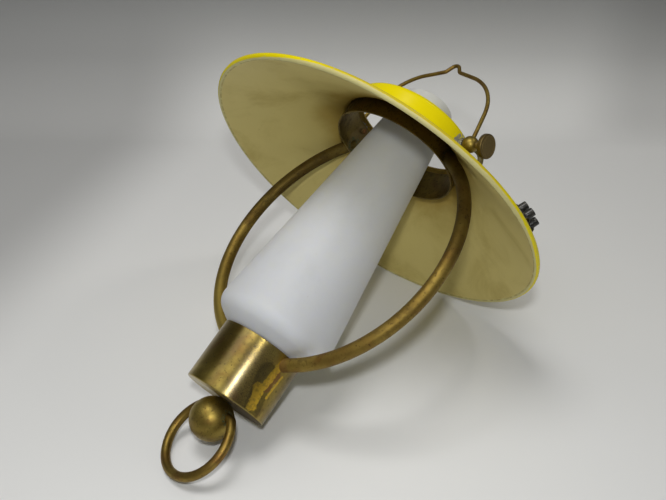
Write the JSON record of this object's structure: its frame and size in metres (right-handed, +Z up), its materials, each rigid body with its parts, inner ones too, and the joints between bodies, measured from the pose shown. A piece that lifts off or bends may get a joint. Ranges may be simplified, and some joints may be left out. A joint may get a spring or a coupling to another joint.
{
  "type": "pendant light",
  "caption": "Pendant light with a wire bail, a bent brass tube frame, a tapered opal glass in a cup, a conical painted shade and a pull ring.",
  "frame": {"origin": "the hook's seat, under the crest of the bail", "axes": "+Z up along the lamp's axis, X along the bail's hinge, the lead and its terminal block on the +X side"},
  "size_m": [0.27, 0.27, 0.3717],
  "materials": {
    "aged_brass": "worn, patinated",
    "bright_brass": "bright",
    "screw_brass": "dark, turned",
    "zinc_steel": "dull plated",
    "yellow_paint": "gloss outside, cream inside",
    "opal_glass": "satin opal",
    "porcelain": "glazed porcelain",
    "black_moulding": "gloss",
    "lead_sheath": "olive brown, satin"
  },
  "bodies": {
    "hanger": {"bail": "aged_brass", "bail_ball_left": "aged_brass", "bail_ball_right": "aged_brass"},
    "lamp_frame": {"lock_nut_left": "zinc_steel", "lock_nut_right": "zinc_steel", "shade": "yellow_paint", "band": "aged_brass", "tube_left": "aged_brass", "tube_right": "aged_brass", "cup": "aged_brass", "lampholder_body": "porcelain", "lampholder_sleeve": "bright_brass", "lampholder_contact": "bright_brass", "lampholder_bracket": "zinc_steel", "bracket_screws": "zinc_steel", "holder_terminals": "bright_brass", "stud": "bright_brass", "stud_nut": "bright_brass", "pull_ball": "aged_brass", "lead_in_tube": "lead_sheath", "holder_cores": "lead_sheath", "supply_lead": "lead_sheath", "lead_cores": "lead_sheath", "terminal_block": "black_moulding", "terminal_inserts": "bright_brass", "terminal_screws": "zinc_steel"},
    "thumb_screw_left": {"thumb_screw_left": "screw_brass"},
    "thumb_screw_right": {"thumb_screw_right": "screw_brass"},
    "glass": {"glass": "opal_glass"},
    "pull_ring": {"pull_ring": "aged_brass"}
  },
  "joints": [
    {"name": "bail_swing", "type": "hinge", "parent": "hanger", "child": "lamp_frame", "pos_m": [0, 0, -0.0732], "axis": [1, 0, 0], "range_deg": [-103, 94]},
    {"name": "thumb_screw_left_turn", "type": "hinge", "parent": "lamp_frame", "child": "thumb_screw_left", "pos_m": [-0.06, 0, -0.0732], "axis": [-1, 0, 0], "range_deg": [0, 360]},
    {"name": "thumb_screw_right_turn", "type": "hinge", "parent": "lamp_frame", "child": "thumb_screw_right", "pos_m": [0.06, 0, -0.0732], "axis": [1, 0, 0], "range_deg": [0, 360]},
    {"name": "glass_lift", "type": "slide", "parent": "lamp_frame", "child": "glass", "axis": [0, 0, 1], "range_m": [0, 0.025]},
    {"name": "pull_ring_swing", "type": "hinge", "parent": "lamp_frame", "child": "pull_ring", "pos_m": [0, 0, -0.31833], "axis": [1, 0, 0], "range_deg": [-90, 90]}
  ]
}
